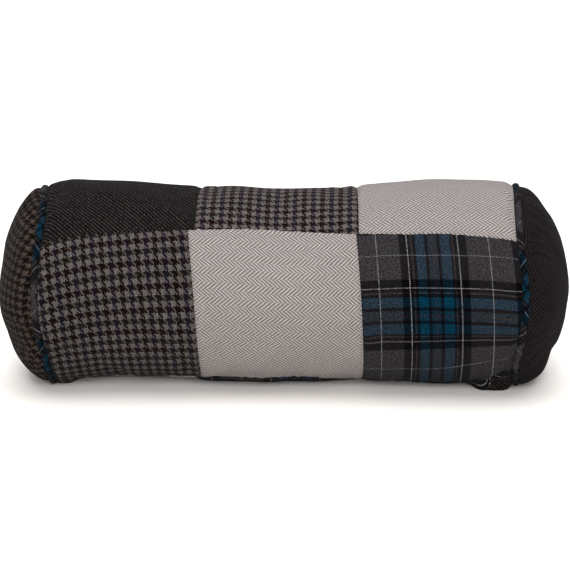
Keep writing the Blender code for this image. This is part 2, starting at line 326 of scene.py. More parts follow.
def ring_wave(angle, length, seed):
    """An uneven wave round the cushion, of about that length, which closes on itself."""
    rng = np.random.default_rng(seed)
    whole = FULL_TURN / math.degrees(length / MEAN_RADIUS)
    total = np.zeros_like(angle)
    for _ in range(RIPPLES):
        count = round(whole * rng.uniform(*RIPPLE_SPREAD))
        total = total + np.sin(np.radians(angle) * count + rng.uniform(0, 2 * math.pi))
    return total / math.sqrt(RIPPLES / 2)


def gather_rise(gathers, angle, distance, seed):
    """How far gathers lift the cloth at a distance from their seam: not at it, most at their peak."""
    q = distance / gathers.peak
    return gathers.depth * ring_wave(angle, gathers.length, seed) * (q * np.exp(1 - q))


def lumps(points):
    """Broad, shallow swellings of the filling, as waves through space."""
    rng = np.random.default_rng(LUMP_SEED)
    rise = np.zeros(points.shape[:-1])
    for _ in range(RIPPLES):
        direction = rng.normal(size=3)
        direction /= np.linalg.norm(direction)
        length = rng.uniform(*LUMP_LENGTHS)
        rise = rise + np.sin(2 * math.pi * (points @ direction / length + rng.uniform()))
    return rise * LUMP_DEPTH / math.sqrt(RIPPLES / 2)


def seam_distances(x, angle, radius, row):
    """How far each point lies from the nearest column seam and the nearest row seam."""
    across = [np.abs(x - column_seam_x(row, which)) for which in ("first", "second")]
    seams = (section_value(x, "top_seam"), section_value(x, "low_seam"), BACK_SEAM)
    down = [radius * np.radians(np.abs(wrapped(angle - seam))) for seam in seams]
    return np.minimum.reduce(across), np.minimum.reduce(down)


def seam_dip(x, angle, radius, row):
    """How deep the seams between the patches lie: a soft trough with a sharp crease in it."""
    d = np.minimum(*seam_distances(x, angle, radius, row))
    return SEAM_DIP * np.exp(-d / SEAM_SPREAD) + CREASE_DEPTH * np.exp(-((d / CREASE_WIDTH) ** 2))


def body_relief(x, angle, radius, row):
    """The small unevenness of the patchwork: lumps, and gathers by the piping and the seams."""
    middle = outward(angle) * radius[..., None]
    middle[..., 0] = x
    relief = lumps(middle)
    for end in (LEFT_END, RIGHT_END):
        distance = np.abs(x - wander_x(end, angle))
        relief = relief + gather_rise(BY_PIPING, angle, distance, BODY_SEED + end.side)
    across, down = seam_distances(x, angle, radius, row)
    relief = relief + gather_rise(BY_SEAM, angle, across, ACROSS_SEED)
    return relief + gather_rise(BY_SEAM, np.degrees(x / MEAN_RADIUS), down, DOWN_SEED)


def body_points(x, row):
    """The cover between the end seams, before it is drawn in at the piping."""
    angle = row_angle(x, row)
    height = section_value(x, "height")
    radius = section_value(x, "radius")
    reach = radius + fold_rise(x, angle, radius) - seam_dip(x, angle, radius, row)
    reach = reach + body_relief(x, angle, radius, row)
    points = outward(angle) * reach[..., None]
    points[..., 0] = x
    points[..., 2] += height
    clearance = np.maximum(0.0, height - radius)
    below = np.exp(-((wrapped(angle + 90) / BELLY_SPREAD) ** 2))
    points[..., 2] -= (clearance + BELLY_PRESS) * below
    return points


def piping_line(end, row):
    """The piping's centre line: it lies in the end seam and rests just above the floor."""
    angle = row_angle(np.full_like(row, end.seam_x), row)
    points = outward(angle) * end.reach
    points[:, 0] = wander_x(end, angle)
    points[:, 2] += section_value(end.seam_x, "height")
    lowest = PIPING_RADIUS + FLOOR_GAP
    points[:, 2] = settled(points[:, 2] - lowest) + lowest
    return points


def piping_axes(end, centre):
    """The directions across the piping's line: towards the end panel, and outwards."""
    along = np.roll(centre, -1, axis=0) - np.roll(centre, 1, axis=0)
    along /= np.linalg.norm(along, axis=1)[:, None]
    sideways = np.array([1.0, 0.0, 0.0]) * end.side
    sideways = sideways - along * (along @ sideways)[:, None]
    sideways /= np.linalg.norm(sideways, axis=1)[:, None]
    return sideways, np.cross(along, sideways) * end.side


def groove_points(end, row):
    """The groove round the piping, from its lip on the body to its lip on the end panel."""
    centre = piping_line(end, row)
    sideways, out = piping_axes(end, centre)
    columns = []
    for degrees in GROOVE_ANGLES:
        a = math.radians(degrees)
        columns.append(centre - GROOVE_RADIUS * (math.cos(a) * sideways + math.sin(a) * out))
    return columns


def flat_place(radius, angle):
    """A place on a flat disc, across and up from its middle."""
    return radius * np.cos(np.radians(angle)), radius * np.sin(np.radians(angle))


def panel_rise(end, radius, angle):
    """How far the folds lift or draw in the end panel."""
    u, v = flat_place(radius, angle)
    rise = np.zeros_like(angle)
    for fold in PANEL_FOLDS:
        if fold.side == end.side:
            start = flat_place(fold.radius0, fold.angle0)
            stop = flat_place(fold.radius1, fold.angle1)
            rise += ridge(fold, line_distance(u, v, *start, *stop))
    inside = np.maximum(0.0, end.reach - radius)
    rise += gather_rise(BY_PIPING, angle, inside, PANEL_SEED + end.side)
    return rise + lumps(np.stack([u, v, np.full_like(u, end.seam_x)], axis=-1))


def panel_columns(end, lip, row):
    """The bulging end panel, from next to its lip to next to its pole, then the pole itself."""
    angle = row_angle(np.full_like(row, end.seam_x), row)
    middle = np.array([0.0, 0.0, float(section_value(end.seam_x, "height"))])
    lip_x = lip[:, 0].mean()
    dome = OVERALL_LENGTH / 2 - abs(lip_x)
    columns = []
    for ring in range(PANEL_RINGS):
        a = math.radians(PANEL_EDGE * (1 - (ring / PANEL_RINGS) ** PANEL_CROWDING))
        spread = math.sin(a) * (1 - PANEL_SLACK * math.sin(2 * a) ** 2)
        centre = middle + np.array([0, 0, end.pole_rise]) * math.cos(a) ** 2
        points = centre + (lip - middle) * spread
        points[:, 0] = lip_x + (lip[:, 0] - lip_x) * math.sin(a) ** 2
        points[:, 0] += end.side * dome * math.cos(a)
        normal = outward(angle) * math.sin(a)
        normal[:, 0] = end.side * math.cos(a)
        points += normal * panel_rise(end, end.reach * spread, angle)[:, None]
        points[:, 2] = settled(points[:, 2])
        columns.append(points)
    pole = middle + np.array([end.side * OVERALL_LENGTH / 2, 0, end.pole_rise])
    return columns, pole


def fractions(length, first, last):
    """Places from 0 to 1 along a run: set steps at each end, and even ones between them."""
    inner = length - first[-1] - last[-1]
    count = max(1, round(inner / PITCH))
    middle = [first[-1] + inner * i / count for i in range(1, count)]
    offsets = [*first, *middle, *(length - step for step in reversed(last))]
    return np.array(offsets) / length


def row_places():
    """The row coordinates of the steps round the cushion."""
    radius = section_value(0.0, "radius")
    top, low = section_value(0.0, "top_seam"), section_value(0.0, "low_seam")
    spans = (top - low, low - (BACK_SEAM - FULL_TURN), BACK_SEAM - top)
    places = []
    for index, span in enumerate(spans):
        length = float(radius * math.radians(span))
        places.extend(index + fractions(length, AT_SEAM, AT_SEAM)[:-1])
    return np.array(places)


def drawn_in(x, row, left_lip, right_lip):
    """The cover at x, drawn in towards the piping over a rounded shoulder."""
    points = body_points(x, row)
    for lip in (left_lip, right_lip):
        q = np.clip(np.abs(x - lip[:, 0]) / SHOULDER, 0, 1)
        keep = np.sqrt(1 - (1 - q) ** 2)[:, None]
        points[:, 1:] = lip[:, 1:] + (points[:, 1:] - lip[:, 1:]) * keep
    points[:, 2] = settled(points[:, 2])
    return points


# A cover as a grid: points is columns by rows by 3, and patch says what each gap between two
# columns belongs to: 0 to 2 for the columns of patches, or None for an end panel and its groove.
Grid = namedtuple("Grid", "row points poles patch left_columns")


def cover_grid():
    """The whole cover in steps: both end panels, both grooves and the patchwork between them."""
    row = row_places()
    left_groove = groove_points(LEFT_END, row)
    right_groove = groove_points(RIGHT_END, row)
    left_panel, left_pole = panel_columns(LEFT_END, left_groove[-1], row)
    right_panel, right_pole = panel_columns(RIGHT_END, right_groove[-1], row)
    seams = [column_seam_x(row, which) for which in ("first", "second")]
    edges = [left_groove[0][:, 0], *seams, right_groove[0][:, 0]]
    body, patch_of = [], []
    for index, run in enumerate(np.diff(edges, axis=0)):
        first = AT_PIPING if index == 0 else AT_SEAM
        last = AT_PIPING if index == len(seams) else AT_SEAM
        for f in fractions(float(run.mean()), first, last)[:-1]:
            body.append(drawn_in(edges[index] + run * f, row, left_groove[0], right_groove[0]))
            patch_of.append(index)
    columns = left_panel[::-1] + left_groove[::-1] + body[1:] + right_groove + right_panel
    outside = len(left_panel) + len(left_groove) - 1
    patch = [None] * outside + patch_of + [None] * outside
    return Grid(row, np.array(columns), (left_pole, right_pole), patch, outside)


# The cloth's own settling: a coarse net of the cover is blown up by the filling's pressure while its
# seams hold it, and what that adds to the broad shape is passed on to the fine cover.
NET_PITCH = 0.0046
NET_FRAMES = 20
NET_PRESSURE = 4.0
NET_GROWTH = 0.02
NET_STEPS = 6
NET_MASS = 0.3
NET_BENDING = 0.3
SEAM_HOLD = 0.45
MOST_RISE = 0.0012
BROAD_PASSES = 60
CLEAR_OF_FLOOR = 0.004
TINY = 1e-12


def spaced(places, kept):
    """Which of the places to keep, so that they are about a net's pitch apart: the kept ones, and
    as many between them as fit."""
    chosen = []
    for first, last in zip(kept, kept[1:]):
        count = max(1, round((places[last] - places[first]) / NET_PITCH))
        wanted = np.linspace(places[first], places[last], count + 1)[:-1]
        chosen.extend(first + int(np.argmin(np.abs(places[first:last] - w))) for w in wanted)
    return np.array(sorted(set(chosen)) + [kept[-1]])


def smoothed(rise):
    """The broad part of a rise: every place shares with its neighbours, again and again."""
    for _ in range(BROAD_PASSES):
        rise = rise + (np.roll(rise, 1, axis=1) + np.roll(rise, -1, axis=1) - 2 * rise) / 4
        across = np.concatenate([rise[:1], rise, rise[-1:]])
        rise = rise + (across[2:] + across[:-2] - 2 * rise) / 4
    return rise


def grid_normals(points):
    """The outward direction at each place of a grid."""
    along = np.gradient(points, axis=0)
    round_it = np.roll(points, -1, axis=1) - np.roll(points, 1, axis=1)
    normals = np.cross(round_it, along)
    return normals / np.maximum(np.linalg.norm(normals, axis=2), TINY)[..., None]


def blown_up(net, hold):
    """The net after the simulation, with its poles left out."""
    columns, count = net.shape[:2]
    here = np.arange(count)
    up = (here + 1) % count
    starts = np.arange(columns - 1)[:, None] * count
    corners = (starts + up, starts + count + up, starts + count + here, starts + here)
    faces = np.stack(corners, axis=-1).reshape(-1, 4).tolist()
    faces += [here[::-1].tolist(), (here + (columns - 1) * count).tolist()]
    sheet = add_object("cloth_net", net.reshape(-1, 3), faces)
    mesh = sheet.data
    held = sheet.vertex_groups.new(name="held")
    for weight in np.unique(hold):
        held.add(np.flatnonzero(hold == weight).tolist(), float(weight), "REPLACE")
    cloth = sheet.modifiers.new("cloth", "CLOTH")
    settings = cloth.settings
    settings.quality = NET_STEPS
    settings.mass = NET_MASS
    settings.bending_stiffness = NET_BENDING
    settings.use_pressure = True
    settings.uniform_pressure_force = NET_PRESSURE
    settings.shrink_min = -NET_GROWTH
    settings.vertex_group_mass = held.name
    settings.effector_weights.gravity = 0.0
    cloth.collision_settings.use_collision = False
    scene = bpy.context.scene
    cloth.point_cache.frame_start, cloth.point_cache.frame_end = 1, NET_FRAMES
    for frame_number in range(1, NET_FRAMES + 1):
        scene.frame_set(frame_number)
    worn = sheet.evaluated_get(bpy.context.evaluated_depsgraph_get()).to_mesh()
    moved = np.empty(len(worn.vertices) * 3, np.float32)
    worn.vertices.foreach_get("co", moved)
    bpy.data.objects.remove(sheet)
    bpy.data.meshes.remove(mesh)
    scene.frame_set(1)
    return moved.astype(float).reshape(net.shape)


def puffed(grid):
    """The cover after the simulation: its patches puff up between the seams that hold them."""
    steps = np.linalg.norm(np.diff(grid.points, axis=0), axis=2).mean(axis=1)
    along = np.concatenate([[0.0], np.cumsum(steps)])
    body = [i for i, patch in enumerate(grid.patch) if patch is not None]
    seams = [i for i in body[1:] if grid.patch[i] != grid.patch[i - 1]]
    lips = [body[0], body[-1] + 1]
    groove = len(GROOVE_ANGLES) - 1
    outer = [lips[0] - groove, lips[1] + groove]
    columns = spaced(along, [0, outer[0], lips[0], *seams, lips[1], outer[1], len(along) - 1])
    turn = grid.row * (2 * math.pi * MEAN_RADIUS / ROWS)
    row_seams = [int(np.argmin(np.abs(grid.row - seam))) for seam in range(ROWS)]
    rows = spaced(turn, [*row_seams, len(turn) - 1])
    net = grid.points[np.ix_(columns, rows)]

    hold = np.zeros(net.shape[:2])
    hold[np.isin(columns, seams)] = SEAM_HOLD
    in_body = (columns >= lips[0]) & (columns <= lips[1])
    hold[np.ix_(in_body, np.isin(rows, row_seams))] = SEAM_HOLD
    hold[(columns >= outer[0]) & (columns <= lips[0])] = 1.0
    hold[(columns >= lips[1]) & (columns <= outer[1])] = 1.0
    moved = blown_up(net, hold.ravel())

    rise = ((moved - net) * grid_normals(net)).sum(axis=2)
    rise = np.where(hold == 1.0, 0.0, rise - smoothed(rise))
    rise = MOST_RISE * np.tanh(rise / MOST_RISE)
    rise = curve_through(along, along[columns], rise).T
    places = grid.row[rows]
    places = np.concatenate([places[-1:] - ROWS, places, places[:1] + ROWS])
    rise = curve_through(grid.row, places, np.concatenate([rise[-1:], rise, rise[:1]])).T
    points = grid.points
    rise *= np.clip(points[..., 2] / CLEAR_OF_FLOOR, 0.0, 1.0)
    return grid._replace(points=points + grid_normals(points) * rise[..., None])


def gathered(x, angle):
    """How much extra cloth is bunched up, down to an angle, at the lower right of the front."""
    extra = np.zeros_like(x)
    for gather in GATHERS:
        fullness = np.clip((x - gather.x0) / (gather.x1 - gather.x0), 0, gather.limit) ** 2
        down = np.clip(gather.angle0 - angle, 0, gather.angle0 - gather.angle1)
        extra += fullness * gather.amount * down
    return extra


def patch_uv(x, row, index, column):
    """Where a point of a patch lies on its cloth: across from a column seam, down from the grain's
    first row."""
    grain = GRAINS[index][column]
    radius = section_value(x, "radius")
    angle = row_angle(x, row) + (FULL_TURN if index else 0.0)
    which = "second" if column == 2 else "first"
    u = (x - column_line_x(row, index, which) - grain.shift) * grain.across
    share = (x - grain.x0) / (grain.x1 - grain.x0)
    start = grain.angle0 + (grain.angle1 - grain.angle0) * share
    stretch = grain.stretch0 + (grain.stretch1 - grain.stretch0) * share
    arc = radius * np.radians(start - angle)
    v = arc * stretch * (1.0 - grain.slack * arc)
    if (index, column) == GATHERED_PATCH:
        v = v + gathered(x, angle)
    return np.stack([u, v], axis=-1)


def panel_uv(grid, end):
    """Where each point of an end panel lies on its cloth, laid flat from the panel's middle."""
    count = grid.left_columns + 1
    left = end.side < 0
    points = grid.points[:count] if left else grid.points[-count:][::-1]
    pole = np.broadcast_to(grid.poles[0 if left else 1], points[:1].shape)
    steps = np.diff(np.concatenate([pole, points]), axis=0)
    reach = np.cumsum(np.linalg.norm(steps, axis=2), axis=0)
    angle = np.radians(row_angle(np.full_like(grid.row, end.seam_x), grid.row))
    across, up = -reach * np.cos(angle), reach * np.sin(angle)
    if left:
        return np.stack([-up, across], axis=-1)
    return np.stack([across, -up], axis=-1)[::-1]


def patch_corners(grid, column, here, up):
    """The faces between two columns of the patchwork: each corner's place on its cloth, and which
    cloth it is."""
    patch = grid.patch[column]
    places = np.zeros((4, len(here), 2))
    cloth = np.zeros(len(here), int)
    first, second = grid.points[column][:, 0], grid.points[column + 1][:, 0]
    for index in range(ROWS):
        at = here[np.minimum(grid.row.astype(int), ROWS - 1) == index]
        beyond = up[at]
        row = grid.row[at]
        next_row = np.where(beyond == 0, ROWS, grid.row[beyond])
        places[:, at] = (
            patch_uv(first[beyond], next_row, index, patch),
            patch_uv(second[beyond], next_row, index, patch),
            patch_uv(second[at], row, index, patch),
            patch_uv(first[at], row, index, patch),
        )
        cloth[at] = PATCHES[index][patch]
    return places, cloth


def add_object(name, points, faces, materials=()):
    """A new object with a mesh of its own."""
    mesh = bpy.data.meshes.new(name)
    mesh.from_pydata(np.asarray(points).tolist(), [], faces)
    for material in materials:
        mesh.materials.append(material)
    made = bpy.data.objects.new(name, mesh)
    bpy.context.collection.objects.link(made)
    return made


def lay_cloth(mesh, uv):
    """Gives each corner of a mesh its place on the cloth, and the mesh smooth shading."""
    layer = mesh.uv_layers.new(name="cloth")
    layer.data.foreach_set("uv", uv.astype(np.float32).ravel())
    mesh.shade_smooth()
    mesh.update()


def make_cover(grid):
    """The cover as one closed mesh, with a cloth for each patch and its place on that cloth."""
    columns, count = grid.points.shape[:2]
    points = np.concatenate([grid.points.reshape(-1, 3), *[p[None] for p in grid.poles]])
    panels = {end.side: panel_uv(grid, end) for end in (LEFT_END, RIGHT_END)}

    here = np.arange(count)
    up = (here + 1) % count
    faces, cloths, uvs = [], [], []
    for column in range(columns - 1):
        a, b = column * count, (column + 1) * count
        faces += np.stack([a + up, b + up, b + here, a + here], axis=-1).tolist()
        if grid.patch[column] is None:
            side = -1 if column < grid.left_columns else 1
            place = panels[side]
            offset = 0 if side < 0 else columns - len(place)
            first, second = place[column - offset], place[column - offset + 1]
            corners = (first[up], second[up], second[here], first[here])
            cloth = np.full(count, END_PANELS[side])
        else:
            corners, cloth = patch_corners(grid, column, here, up)
        uvs.append(np.stack(corners, axis=1).reshape(-1, 2))
        cloths.append(cloth)

    last = (columns - 1) * count
    fans = ((-1, 0, up, here), (1, last, here, up))
    for pole, (side, offset, second, third) in enumerate(fans, len(points) - 2):
        faces += np.stack([np.full(count, pole), offset + second, offset + third], axis=-1).tolist()
        rim = panels[side][0 if side < 0 else -1]
        corners = [np.zeros((count, 2)), rim[second], rim[third]]
        uvs.append(np.stack(corners, axis=1).reshape(-1, 2))
        cloths.append(np.full(count, END_PANELS[side]))

    cover = add_object("patchwork_cover", points, faces, [make(*looks) for make, *looks in CLOTHS])
    cover.data.polygons.foreach_set("material_index", np.concatenate(cloths))
    lay_cloth(cover.data, np.concatenate(uvs))
    return cover


# Piping

PIPING_STEP = 0.0009
PIPING_SIDES = 28
PIPING_START = 105.0
CORD_RADIUS = 0.0036
CORD_PROUD = 0.0007

# Where the ends of each piping strip meet, and how far the join swells the cord there
Join = namedtuple("Join", "angle swell width")
JOINS = {-1: Join(-67.0, 0.0010, 3.0), 1: Join(-118.0, 0.0004, 3.0)}

# The wrinkles of its cloth, which sway as they run round the ring and are deeper in some places
WrinkleSet = namedtuple("WrinkleSet", "wavelength twist depth seed")
WRINKLES = (
    WrinkleSet(0.0120, 1.0, 0.00085, 3),
    WrinkleSet(0.0085, -1.0, 0.00045, 5),
    WrinkleSet(0.0210, 1.0, 0.00060, 8),
)
WRINKLE_SWAYS = 7
WRINKLE_SWAY = 1.8
WRINKLE_SHARPNESS = 3
WRINKLE_EVEN, WRINKLE_UNEVEN = 0.6, 0.4

# The corners of a face of its mesh: how many steps along the ring, and how many round the cord
FACE_CORNERS = ((0, 0), (0, 1), (1, 1), (1, 0))


def make_piping(end):
    """One ring of covered cord, its tartan strip cut on the bias and wrinkled round it."""
    circumference = 2 * math.pi * end.reach
    count = round(circumference / PIPING_STEP)
    angles = PIPING_START - FULL_TURN * np.arange(count) / count
    rows = angle_row(end, angles)
    centre = piping_line(end, rows)
    sideways, out = piping_axes(end, centre)
    centre = centre + out * CORD_PROUD
    centre[:, 2] = np.maximum(centre[:, 2], CORD_RADIUS + FLOOR_GAP)
    s = np.radians(PIPING_START - angles) * end.reach
    t = 2 * math.pi * np.arange(PIPING_SIDES) / PIPING_SIDES
    grid_s, grid_t = np.meshgrid(s, t, indexing="ij")
    radius = np.full_like(grid_s, CORD_RADIUS)
    for w in WRINKLES:
        turns = round(circumference / w.wavelength)
        phase = 2 * math.pi * turns * grid_s / circumference + w.twist * grid_t
        uneven = np.sin(grid_s / circumference * 2 * math.pi * WRINKLE_SWAYS + w.seed)
        crease = ((1 + np.sin(phase + WRINKLE_SWAY * uneven)) / 2) ** WRINKLE_SHARPNESS
        radius -= w.depth * crease * (WRINKLE_EVEN + WRINKLE_UNEVEN * uneven)
    join = JOINS[end.side]
    off = wrapped(angles - join.angle)
    radius += join.swell * np.exp(-((off[:, None] / join.width) ** 2))
    across = np.cos(grid_t)[..., None] * sideways[:, None] + np.sin(grid_t)[..., None] * out[:, None]
    points = centre[:, None] + across * radius[..., None]
    points[..., 2] = np.maximum(points[..., 2], FLOOR_GAP)

    i, k = np.meshgrid(np.arange(count), np.arange(PIPING_SIDES), indexing="ij")
    past_join = np.arange(count) > np.argmin(np.abs(off))
    start = np.where(past_join, s - circumference, s)
    girth = PIPING_RADIUS * 2 * math.pi / PIPING_SIDES
    faces, uv = [], []
    for along, beside in FACE_CORNERS[:: end.side]:
        faces.append((i + along) % count * PIPING_SIDES + (k + beside) % PIPING_SIDES)
        place = start[i] + along * (circumference / count)
        uv.append(np.stack([place, (k + beside) * girth], axis=-1))
    faces = np.stack(faces, axis=-1).reshape(-1, 4).tolist()
    name = f"tartan_cord_{end.name}"
    piping = add_object(name, points.reshape(-1, 3), faces, [piping_cloth(end)])
    lay_cloth(piping.data, np.stack(uv, axis=2).reshape(-1, 2))
    return piping


# Materials


def operator(operation, swapped=False):
    """A method of Term that does one of Blender's math operations with it."""
    def method(self, *others):
        values = (*others, self) if swapped else (self, *others)
        return self.graph.math(operation, *values)
    return method


class Term:
    """A number that a material works out, so that a pattern can be written as a formula."""

    def __init__(self, graph, socket):
        self.graph = graph
        self.socket = socket

    __add__ = operator("ADD")
    __radd__ = operator("ADD", swapped=True)
    __sub__ = operator("SUBTRACT")
    __rsub__ = operator("SUBTRACT", swapped=True)
    __mul__ = operator("MULTIPLY")
    __rmul__ = operator("MULTIPLY", swapped=True)
    __truediv__ = operator("DIVIDE")
    __mod__ = operator("FLOORED_MODULO")
    __lt__ = operator("LESS_THAN")
    __gt__ = operator("GREATER_THAN")
    floor = operator("FLOOR")
    sine = operator("SINE")


# How large a noise is, how many finer layers it has, and how strong they are
Noise = namedtuple("Noise", "scale detail roughness")
CLOUD_NOISE = Noise(42.0, 2.0, 0.5)
GRAIN_NOISE = Noise(620.0, 3.0, 0.75)
NAP_NOISE = Noise(2600.0, 2.0, 0.6)
FLOOR_NOISE = Noise(6.0, 2.0, 0.5)


class Graph:
    """Makes the nodes of one material."""

    def __init__(self, name):
        self.material = bpy.data.materials.new(name)
        self.material.use_nodes = True
        self.tree = self.material.node_tree
        self.shader = self.tree.nodes["Principled BSDF"]

    def feed(self, socket, value):
        value = value.socket if isinstance(value, Term) else value
        if isinstance(value, bpy.types.NodeSocket):
            self.tree.links.new(value, socket)
        else:
            socket.default_value = value

    def node(self, kind, inputs, **settings):
        node = self.tree.nodes.new(kind)
        for name, value in settings.items():
            setattr(node, name, value)
        for name, value in inputs.items():
            self.feed(node.inputs[name], value)
        return node

    def math(self, operation, *values):
        inputs = dict(enumerate(values))
        return Term(self, self.node("ShaderNodeMath", inputs, operation=operation).outputs[0])

    def vector(self, x, y):
        return self.node("ShaderNodeCombineXYZ", {"X": x, "Y": y}).outputs[0]

    def place(self):
        """A point's place on its cloth, in metres across and down."""
        layer = self.node("ShaderNodeUVMap", {}, uv_map="cloth")
        split = self.node("ShaderNodeSeparateXYZ", {0: layer.outputs[0]})
        return Term(self, split.outputs["X"]), Term(self, split.outputs["Y"])

    def random(self, x, y):
        """A random number from 0 to 1 for each pair of whole numbers."""
        node = self.node("ShaderNodeTexWhiteNoise", {0: self.vector(x, y)}, noise_dimensions="2D")
        return Term(self, node.outputs["Value"])

    def noise(self, vector, look):
        inputs = dict(zip(("Vector", "Scale", "Detail", "Roughness"), (vector, *look)))
        node = self.node("ShaderNodeTexNoise", inputs, noise_dimensions="2D")
        return Term(self, node.outputs[0])

    def pick(self, share, first, second):
        """The first number where share is 0, and the second where it is 1."""
        inputs = {0: share, 2: first, 3: second}
        return Term(self, self.node("ShaderNodeMix", inputs, data_type="FLOAT").outputs[0])

    def blend(self, share, first, second, mode="MIX"):
        """The first colour where share is 0, and the second where it is 1."""
        inputs = {0: share, 6: first, 7: second}
        node = self.node("ShaderNodeMix", inputs, data_type="RGBA", blend_type=mode)
        return node.outputs[2]

    def stripes(self, place, sett, lines):
        """The tartan's stripes across a sett of that width, which repeats, with its pale lines in
        the colours given for them."""
        node = self.node("ShaderNodeValToRGB", {"Fac": (place % sett) / sett})
        ramp = node.color_ramp
        ramp.interpolation = "CONSTANT"
        while len(ramp.elements) < len(TARTAN):
            ramp.elements.new(1.0)
        for element, (start, colour) in zip(ramp.elements, TARTAN):
            element.position = start / TARTAN_STEPS
            element.color = lines.get(colour, colour)
        return node.outputs["Color"]

    def brightness(self, colour):
        """How bright a colour is, as a number."""
        return Term(self, self.node("ShaderNodeRGBToBW", {"Color": colour}).outputs[0])

    def grey(self, value):
        """A number as a colour."""
        inputs = {"Red": value, "Green": value, "Blue": value}
        return self.node("ShaderNodeCombineColor", inputs).outputs[0]


def rgb(red, green, blue):
    """A colour of 0 to 255, as it looks, in the linear values that a material takes."""
    def linear(c):
        c = c / 255
        return c / 12.92 if c <= 0.04045 else ((c + 0.055) / 1.055) ** 2.4
    return (linear(red), linear(green), linear(blue), 1.0)


# A weave at a point: the numbers of its warp and weft threads, whether the warp is on top, and how
# high the top thread stands. A thread floats over two others and sinks at the ends of its float.
Twill = namedtuple("Twill", "warp weft warp_up height")
FLOAT = 2.0
REPEAT = 2 * FLOAT
FLOAT_DROP = 0.35


def twill(graph, a, b, slope):
    """A two-over-two twill at a place counted in threads. Its lines fall to the right where slope
    is 1, and rise where it is -1."""
    i, j = a.floor(), b.floor()
    warp_up = ((i - j * slope) % REPEAT) < FLOAT - 0.5
    warp_run = ((i - b * slope + (1.0 + slope) * 0.5) % REPEAT) * (math.pi / FLOAT)
    weft_run = ((a - j * slope + FLOAT) % REPEAT) * (math.pi / FLOAT)
    across_warp = (a - i) * 2.0 - 1.0
    across_weft = (b - j) * 2.0 - 1.0
    run = graph.pick(warp_up, weft_run, warp_run)
    across = graph.pick(warp_up, across_weft, across_warp)
    height = (1.0 - across * across) * (run.sine() * FLOAT_DROP + (1.0 - FLOAT_DROP))
    return Twill(i, j, warp_up, height)


# A cloth's yarn: how much its floats differ, how grainy and how mottled its colour is, how much
# painted shade darkens the gaps between its threads, how far its threads stand up, how fuzzy and how
# rough it is, and the sheen of its nap
Yarn = namedtuple("Yarn", "heather grain mottle shade relief fuzz rough sheen")
CHARCOAL_YARN = Yarn(0.9, 2.0, 0.12, 0.65, 0.00035, 0.3, 0.92, 0.012)
CORDED_YARN = Yarn(0.7, 1.6, 0.20, 0.45, 0.00030, 0.3, 0.94, 0.01)
PUPPYTOOTH_YARN = Yarn(0.6, 1.5, 0.14, 0.94, 0.0004, 0.5, 0.92, 0.015)
HERRINGBONE_YARN = Yarn(0.22, 0.35, 0.05, 0.30, 0.00026, 0.4, 0.9, 0.05)
TARTAN_YARN = Yarn(0.6, 4.5, 0.10, 0.35, 0.00022, 0.5, 0.92, 0.012)
LEAST_LIGHT = 0.2
ROUGHNESS_GRAIN = 0.12
BUMP_STRENGTH = 0.7
WOOL_SPECULAR = 0.02
NAP_ROUGHNESS = 0.5


def finish_cloth(graph, place, weave, colour, yarn):
    """Adds a wool cloth's shading: uneven yarn, painted shade in the gaps between threads, raised
    threads and a soft nap.
    """
    u, v = place
    flat = graph.vector(u, v)
    piece = graph.random(weave.warp + weave.warp_up * 0.5, (weave.weft / 2.0).floor())
    grain = graph.noise(flat, GRAIN_NOISE)
    cloud = graph.noise(flat, CLOUD_NOISE)
    light = (
        1.0
        + (piece - 0.5) * yarn.heather
        + (grain - 0.5) * yarn.grain
        + (cloud - 0.5) * yarn.mottle
    )
    light = graph.math("MAXIMUM", light, LEAST_LIGHT)
    # painted shade: the colour darkens towards the gaps between threads and where a thread sinks
    light = light * (weave.height * yarn.shade + (1.0 - yarn.shade))
    tinted = graph.blend(1.0, colour, graph.grey(light), "MULTIPLY")
    nap = graph.noise(flat, NAP_NOISE)
    surface = weave.height + nap * yarn.fuzz
    relief = {"Height": surface, "Strength": BUMP_STRENGTH, "Distance": yarn.relief}
    bump = graph.node("ShaderNodeBump", relief)
    inputs = graph.shader.inputs
    graph.feed(inputs["Base Color"], tinted)
    graph.feed(inputs["Normal"], bump.outputs[0])
    graph.feed(inputs["Roughness"], yarn.rough + (grain - 0.5) * ROUGHNESS_GRAIN)
    inputs["Specular IOR Level"].default_value = WOOL_SPECULAR
    inputs["Sheen Weight"].default_value = yarn.sheen
    inputs["Sheen Roughness"].default_value = NAP_ROUGHNESS
    return graph.material


# How far apart the warps and the wefts of each cloth are, and its colours
CHARCOAL_THREADS = (0.00111, 0.00106)
CHARCOAL_WARPS = (0.6, 1.4)
CHARCOAL_WEFT, CHARCOAL_WARP = rgb(43, 40, 39), rgb(8, 7, 7)
CORDED_GROUND, CORDED_DOTS = rgb(14, 12, 13), rgb(44, 39, 42)
HERRINGBONE_THREADS = (0.001050, 0.0008975)
HERRINGBONE_BAND = 8.0
HERRINGBONE_WEFT, HERRINGBONE_WARP = rgb(158, 152, 150), rgb(93, 88, 86)
PUPPYTOOTH_THREADS = (0.0010656, 0.0014625)
PUPPYTOOTH_START = (2.0, 10.0)
CHECK = 8.0
PALE_YARN, FLECK = rgb(92, 87, 85), rgb(104, 76, 44)
OLIVE_BLACK, NAVY, MAROON, OLIVE = rgb(11, 9, 7), rgb(16, 17, 31), rgb(26, 10, 10), rgb(27, 25, 17)
FLECK_OFFSET = 0.25
FLECK_ABOVE = 0.985
FLECK_SHARE = 0.4

# The light yarn where it crosses dark yarn: darker partly because the dark yarn shows between its
# fibres, partly as painted shade in the gaps
MIXED_AND_SHADED_TONE = (0.62, 0.62, 0.62)


def toned(colour, tone):
    """A colour with its red, green and blue made weaker or stronger."""
    return tuple(c * t for c, t in zip(colour, tone)) + (1.0,)


def start_cloth(name, threads):
    """A new material: its graph, a point's place on the cloth, and that place counted in threads."""
    graph = Graph(name)
    u, v = graph.place()
    return graph, (u, v), u / threads[0], v / threads[1]


